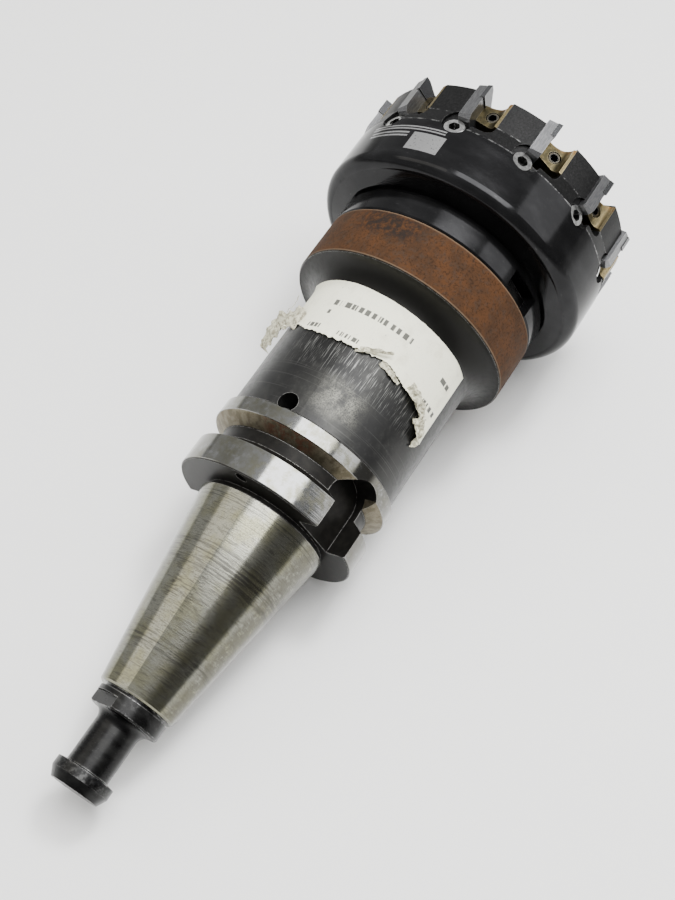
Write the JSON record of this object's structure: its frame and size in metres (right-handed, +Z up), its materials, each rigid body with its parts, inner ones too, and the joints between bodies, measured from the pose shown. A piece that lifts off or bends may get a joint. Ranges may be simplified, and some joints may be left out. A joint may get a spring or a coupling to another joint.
{
  "type": "face mill on taper tool holder",
  "caption": "Face mill with adjustable tipped blades held by wedges, clamped on a No. 40 taper holder with a pull stud, lying on its side.",
  "frame": {"origin": "centre of the taper's gauge line, on the tool axis", "axes": "+Z up with the tool lying on a level surface; the tool axis lies in the XZ plane and leans 8.8 degrees above +X towards the cutting end; +Y is to the left seen from the shank"},
  "size_m": [0.2514, 0.0996, 0.103],
  "materials": {
    "taper_steel": "ground steel with worn black oxide and brown storage rust",
    "black_oxide": "black oxide, worn to grey on the edges",
    "screw_steel": "bright",
    "blade_steel": "ground",
    "wedge_brass": "satin, gold coloured",
    "label_paper": "matt, torn"
  },
  "bodies": {
    "tool": {"taper_holder": "taper_steel", "pull_stud": "black_oxide", "cutter_body": "black_oxide", "lock_screw": "black_oxide", "paper_label": "label_paper", "drive_key_1": "black_oxide", "drive_key_2": "black_oxide", "drive_key_screw_1": "black_oxide", "drive_key_screw_2": "black_oxide"},
    "blade_01": {"blade_01": "blade_steel"},
    "wedge_01": {"wedge_01": "wedge_brass"},
    "wedge_screw_01": {"wedge_screw_01": "screw_steel"},
    "adjusting_screw_01": {"adjusting_screw_01": "screw_steel"},
    "blade_02": {"blade_02": "blade_steel"},
    "wedge_02": {"wedge_02": "wedge_brass"},
    "wedge_screw_02": {"wedge_screw_02": "screw_steel"},
    "adjusting_screw_02": {"adjusting_screw_02": "screw_steel"},
    "blade_03": {"blade_03": "blade_steel"},
    "wedge_03": {"wedge_03": "wedge_brass"},
    "wedge_screw_03": {"wedge_screw_03": "screw_steel"},
    "adjusting_screw_03": {"adjusting_screw_03": "screw_steel"},
    "blade_04": {"blade_04": "blade_steel"},
    "wedge_04": {"wedge_04": "wedge_brass"},
    "wedge_screw_04": {"wedge_screw_04": "screw_steel"},
    "adjusting_screw_04": {"adjusting_screw_04": "screw_steel"},
    "blade_05": {"blade_05": "blade_steel"},
    "wedge_05": {"wedge_05": "wedge_brass"},
    "wedge_screw_05": {"wedge_screw_05": "screw_steel"},
    "adjusting_screw_05": {"adjusting_screw_05": "screw_steel"},
    "blade_06": {"blade_06": "blade_steel"},
    "wedge_06": {"wedge_06": "wedge_brass"},
    "wedge_screw_06": {"wedge_screw_06": "screw_steel"},
    "adjusting_screw_06": {"adjusting_screw_06": "screw_steel"},
    "blade_07": {"blade_07": "blade_steel"},
    "wedge_07": {"wedge_07": "wedge_brass"},
    "wedge_screw_07": {"wedge_screw_07": "screw_steel"},
    "adjusting_screw_07": {"adjusting_screw_07": "screw_steel"},
    "blade_08": {"blade_08": "blade_steel"},
    "wedge_08": {"wedge_08": "wedge_brass"},
    "wedge_screw_08": {"wedge_screw_08": "screw_steel"},
    "adjusting_screw_08": {"adjusting_screw_08": "screw_steel"},
    "blade_09": {"blade_09": "blade_steel"},
    "wedge_09": {"wedge_09": "wedge_brass"},
    "wedge_screw_09": {"wedge_screw_09": "screw_steel"},
    "adjusting_screw_09": {"adjusting_screw_09": "screw_steel"},
    "blade_10": {"blade_10": "blade_steel"},
    "wedge_10": {"wedge_10": "wedge_brass"},
    "wedge_screw_10": {"wedge_screw_10": "screw_steel"},
    "adjusting_screw_10": {"adjusting_screw_10": "screw_steel"},
    "blade_11": {"blade_11": "blade_steel"},
    "wedge_11": {"wedge_11": "wedge_brass"},
    "wedge_screw_11": {"wedge_screw_11": "screw_steel"},
    "adjusting_screw_11": {"adjusting_screw_11": "screw_steel"},
    "blade_12": {"blade_12": "blade_steel"},
    "wedge_12": {"wedge_12": "wedge_brass"},
    "wedge_screw_12": {"wedge_screw_12": "screw_steel"},
    "adjusting_screw_12": {"adjusting_screw_12": "screw_steel"}
  },
  "joints": [
    {"name": "adjusting_screw_01_turn", "type": "hinge", "parent": "tool", "child": "adjusting_screw_01", "pos_m": [0.12292, 0.00754, 0.06676], "axis": [0.0212, 0.0858, 0.9961], "range_deg": [-180, 0]},
    {"name": "blade_01_slide", "type": "slide", "parent": "tool", "child": "blade_01", "axis": [0.9882, 0, 0.1533], "range_m": [0, 0.0003]},
    {"name": "wedge_screw_01_turn", "type": "hinge", "parent": "tool", "child": "wedge_screw_01", "pos_m": [0.13385, -0.00082, 0.0635], "axis": [-0.1527, 0.0872, 0.9844], "range_deg": [0, 270]},
    {"name": "wedge_01_slide", "type": "slide", "parent": "tool", "child": "wedge_01", "axis": [-0.1527, 0.0872, 0.9844], "range_m": [0, 0.0012]},
    {"name": "adjusting_screw_02_turn", "type": "hinge", "parent": "tool", "child": "adjusting_screw_02", "pos_m": [0.12331, -0.01704, 0.06424], "axis": [0.0348, -0.4162, 0.9086], "range_deg": [-180, 0]},
    {"name": "blade_02_slide", "type": "slide", "parent": "tool", "child": "blade_02", "axis": [0.9882, 0, 0.1533], "range_m": [0, 0.0003]},
    {"name": "wedge_screw_02_turn", "type": "hinge", "parent": "tool", "child": "wedge_screw_02", "pos_m": [0.13478, -0.02183, 0.05751], "axis": [-0.139, -0.4226, 0.8956], "range_deg": [0, 270]},
    {"name": "wedge_02_slide", "type": "slide", "parent": "tool", "child": "wedge_02", "axis": [-0.139, -0.4226, 0.8956], "range_m": [0, 0.0012]},
    {"name": "adjusting_screw_03_turn", "type": "hinge", "parent": "tool", "child": "adjusting_screw_03", "pos_m": [0.12553, -0.03704, 0.04992], "axis": [0.085, -0.8067, 0.5848], "range_deg": [-180, 0]},
    {"name": "blade_03_slide", "type": "slide", "parent": "tool", "child": "blade_03", "axis": [0.9882, 0, 0.1533], "range_m": [0, 0.0003]},
    {"name": "wedge_screw_03_turn", "type": "hinge", "parent": "tool", "child": "wedge_screw_03", "pos_m": [0.13719, -0.03698, 0.04193], "axis": [-0.0879, -0.8192, 0.5668], "range_deg": [0, 270]},
    {"name": "wedge_03_slide", "type": "slide", "parent": "tool", "child": "wedge_03", "axis": [-0.0879, -0.8192, 0.5668], "range_m": [0, 0.0012]},
    {"name": "adjusting_screw_04_turn", "type": "hinge", "parent": "tool", "child": "adjusting_screw_04", "pos_m": [0.12899, -0.04712, 0.02764], "axis": [0.1584, -0.9811, 0.1114], "range_deg": [-180, 0]},
    {"name": "blade_04_slide", "type": "slide", "parent": "tool", "child": "blade_04", "axis": [0.9882, 0, 0.1533], "range_m": [0, 0.0003]},
    {"name": "wedge_screw_04_turn", "type": "hinge", "parent": "tool", "child": "wedge_screw_04", "pos_m": [0.14045, -0.04223, 0.02096], "axis": [-0.0134, -0.9962, 0.0861], "range_deg": [0, 270]},
    {"name": "wedge_04_slide", "type": "slide", "parent": "tool", "child": "wedge_04", "axis": [-0.0134, -0.9962, 0.0861], "range_m": [0, 0.0012]},
    {"name": "adjusting_screw_05_turn", "type": "hinge", "parent": "tool", "child": "adjusting_screw_05", "pos_m": [0.13276, -0.04458, 0.00336], "axis": [0.2354, -0.8925, -0.3847], "range_deg": [-180, 0]},
    {"name": "blade_05_slide", "type": "slide", "parent": "tool", "child": "blade_05", "axis": [0.9882, 0, 0.1533], "range_m": [0, 0.0003]},
    {"name": "wedge_screw_05_turn", "type": "hinge", "parent": "tool", "child": "wedge_screw_05", "pos_m": [0.14367, -0.03616, 0.0002], "axis": [0.0648, -0.9063, -0.4176], "range_deg": [0, 270]},
    {"name": "wedge_05_slide", "type": "slide", "parent": "tool", "child": "wedge_05", "axis": [0.0648, -0.9063, -0.4176], "range_m": [0, 0.0012]},
    {"name": "adjusting_screw_06_turn", "type": "hinge", "parent": "tool", "child": "adjusting_screw_06", "pos_m": [0.13582, -0.03009, -0.01641], "axis": [0.2953, -0.5649, -0.7705], "range_deg": [-180, 0]},
    {"name": "blade_06_slide", "type": "slide", "parent": "tool", "child": "blade_06", "axis": [0.9882, 0, 0.1533], "range_m": [0, 0.0003]},
    {"name": "wedge_screw_06_turn", "type": "hinge", "parent": "tool", "child": "wedge_screw_06", "pos_m": [0.14599, -0.0204, -0.01478], "axis": [0.1256, -0.5736, -0.8095], "range_deg": [0, 270]},
    {"name": "wedge_06_slide", "type": "slide", "parent": "tool", "child": "wedge_06", "axis": [0.1256, -0.5736, -0.8095], "range_m": [0, 0.0012]},
    {"name": "adjusting_screw_07_turn", "type": "hinge", "parent": "tool", "child": "adjusting_screw_07", "pos_m": [0.13737, -0.00754, -0.02637], "axis": [0.322, -0.0858, -0.9428], "range_deg": [-180, 0]},
    {"name": "blade_07_slide", "type": "slide", "parent": "tool", "child": "blade_07", "axis": [0.9882, 0, 0.1533], "range_m": [0, 0.0003]},
    {"name": "wedge_screw_07_turn", "type": "hinge", "parent": "tool", "child": "wedge_screw_07", "pos_m": [0.1468, 0.00082, -0.01996], "axis": [0.1527, -0.0872, -0.9844], "range_deg": [0, 270]},
    {"name": "wedge_07_slide", "type": "slide", "parent": "tool", "child": "wedge_07", "axis": [0.1527, -0.0872, -0.9844], "range_m": [0, 0.0012]},
    {"name": "adjusting_screw_08_turn", "type": "hinge", "parent": "tool", "child": "adjusting_screw_08", "pos_m": [0.13698, 0.01704, -0.02386], "axis": [0.3084, 0.4162, -0.8554], "range_deg": [-180, 0]},
    {"name": "blade_08_slide", "type": "slide", "parent": "tool", "child": "blade_08", "axis": [0.9882, 0, 0.1533], "range_m": [0, 0.0003]},
    {"name": "wedge_screw_08_turn", "type": "hinge", "parent": "tool", "child": "wedge_screw_08", "pos_m": [0.14587, 0.02183, -0.01396], "axis": [0.139, 0.4226, -0.8956], "range_deg": [0, 270]},
    {"name": "wedge_08_slide", "type": "slide", "parent": "tool", "child": "wedge_08", "axis": [0.139, 0.4226, -0.8956], "range_m": [0, 0.0012]},
    {"name": "adjusting_screw_09_turn", "type": "hinge", "parent": "tool", "child": "adjusting_screw_09", "pos_m": [0.13476, 0.03704, -0.00954], "axis": [0.2582, 0.8067, -0.5316], "range_deg": [-180, 0]},
    {"name": "blade_09_slide", "type": "slide", "parent": "tool", "child": "blade_09", "axis": [0.9882, 0, 0.1533], "range_m": [0, 0.0003]},
    {"name": "wedge_screw_09_turn", "type": "hinge", "parent": "tool", "child": "wedge_screw_09", "pos_m": [0.14345, 0.03698, 0.00161], "axis": [0.0879, 0.8192, -0.5668], "range_deg": [0, 270]},
    {"name": "wedge_09_slide", "type": "slide", "parent": "tool", "child": "wedge_09", "axis": [0.0879, 0.8192, -0.5668], "range_m": [0, 0.0012]},
    {"name": "adjusting_screw_10_turn", "type": "hinge", "parent": "tool", "child": "adjusting_screw_10", "pos_m": [0.1313, 0.04712, 0.01275], "axis": [0.1848, 0.9811, -0.0582], "range_deg": [-180, 0]},
    {"name": "blade_10_slide", "type": "slide", "parent": "tool", "child": "blade_10", "axis": [0.9882, 0, 0.1533], "range_m": [0, 0.0003]},
    {"name": "wedge_screw_10_turn", "type": "hinge", "parent": "tool", "child": "wedge_screw_10", "pos_m": [0.14019, 0.04223, 0.02258], "axis": [0.0134, 0.9962, -0.0861], "range_deg": [0, 270]},
    {"name": "wedge_10_slide", "type": "slide", "parent": "tool", "child": "wedge_10", "axis": [0.0134, 0.9962, -0.0861], "range_m": [0, 0.0012]},
    {"name": "adjusting_screw_11_turn", "type": "hinge", "parent": "tool", "child": "adjusting_screw_11", "pos_m": [0.12753, 0.04458, 0.03703], "axis": [0.1078, 0.8925, 0.4379], "range_deg": [-180, 0]},
    {"name": "blade_11_slide", "type": "slide", "parent": "tool", "child": "blade_11", "axis": [0.9882, 0, 0.1533], "range_m": [0, 0.0003]},
    {"name": "wedge_screw_11_turn", "type": "hinge", "parent": "tool", "child": "wedge_screw_11", "pos_m": [0.13697, 0.03616, 0.04334], "axis": [-0.0648, 0.9063, 0.4176], "range_deg": [0, 270]},
    {"name": "wedge_11_slide", "type": "slide", "parent": "tool", "child": "wedge_11", "axis": [-0.0648, 0.9063, 0.4176], "range_m": [0, 0.0012]},
    {"name": "adjusting_screw_12_turn", "type": "hinge", "parent": "tool", "child": "adjusting_screw_12", "pos_m": [0.12446, 0.03009, 0.0568], "axis": [0.0479, 0.5649, 0.8238], "range_deg": [-180, 0]},
    {"name": "blade_12_slide", "type": "slide", "parent": "tool", "child": "blade_12", "axis": [0.9882, 0, 0.1533], "range_m": [0, 0.0003]},
    {"name": "wedge_screw_12_turn", "type": "hinge", "parent": "tool", "child": "wedge_screw_12", "pos_m": [0.13465, 0.0204, 0.05832], "axis": [-0.1256, 0.5736, 0.8095], "range_deg": [0, 270]},
    {"name": "wedge_12_slide", "type": "slide", "parent": "tool", "child": "wedge_12", "axis": [-0.1256, 0.5736, 0.8095], "range_m": [0, 0.0012]}
  ],
  "couplings": [
    {"joint": "adjusting_screw_01_turn", "follows": "blade_01_slide", "rad_per_m": -10472},
    {"joint": "wedge_screw_01_turn", "follows": "wedge_01_slide", "rad_per_m": 3927},
    {"joint": "adjusting_screw_02_turn", "follows": "blade_02_slide", "rad_per_m": -10472},
    {"joint": "wedge_screw_02_turn", "follows": "wedge_02_slide", "rad_per_m": 3927},
    {"joint": "adjusting_screw_03_turn", "follows": "blade_03_slide", "rad_per_m": -10472},
    {"joint": "wedge_screw_03_turn", "follows": "wedge_03_slide", "rad_per_m": 3927},
    {"joint": "adjusting_screw_04_turn", "follows": "blade_04_slide", "rad_per_m": -10472},
    {"joint": "wedge_screw_04_turn", "follows": "wedge_04_slide", "rad_per_m": 3927},
    {"joint": "adjusting_screw_05_turn", "follows": "blade_05_slide", "rad_per_m": -10472},
    {"joint": "wedge_screw_05_turn", "follows": "wedge_05_slide", "rad_per_m": 3927},
    {"joint": "adjusting_screw_06_turn", "follows": "blade_06_slide", "rad_per_m": -10472},
    {"joint": "wedge_screw_06_turn", "follows": "wedge_06_slide", "rad_per_m": 3927},
    {"joint": "adjusting_screw_07_turn", "follows": "blade_07_slide", "rad_per_m": -10472},
    {"joint": "wedge_screw_07_turn", "follows": "wedge_07_slide", "rad_per_m": 3927},
    {"joint": "adjusting_screw_08_turn", "follows": "blade_08_slide", "rad_per_m": -10472},
    {"joint": "wedge_screw_08_turn", "follows": "wedge_08_slide", "rad_per_m": 3927},
    {"joint": "adjusting_screw_09_turn", "follows": "blade_09_slide", "rad_per_m": -10472},
    {"joint": "wedge_screw_09_turn", "follows": "wedge_09_slide", "rad_per_m": 3927},
    {"joint": "adjusting_screw_10_turn", "follows": "blade_10_slide", "rad_per_m": -10472},
    {"joint": "wedge_screw_10_turn", "follows": "wedge_10_slide", "rad_per_m": 3927},
    {"joint": "adjusting_screw_11_turn", "follows": "blade_11_slide", "rad_per_m": -10472},
    {"joint": "wedge_screw_11_turn", "follows": "wedge_11_slide", "rad_per_m": 3927},
    {"joint": "adjusting_screw_12_turn", "follows": "blade_12_slide", "rad_per_m": -10472},
    {"joint": "wedge_screw_12_turn", "follows": "wedge_12_slide", "rad_per_m": 3927}
  ]
}
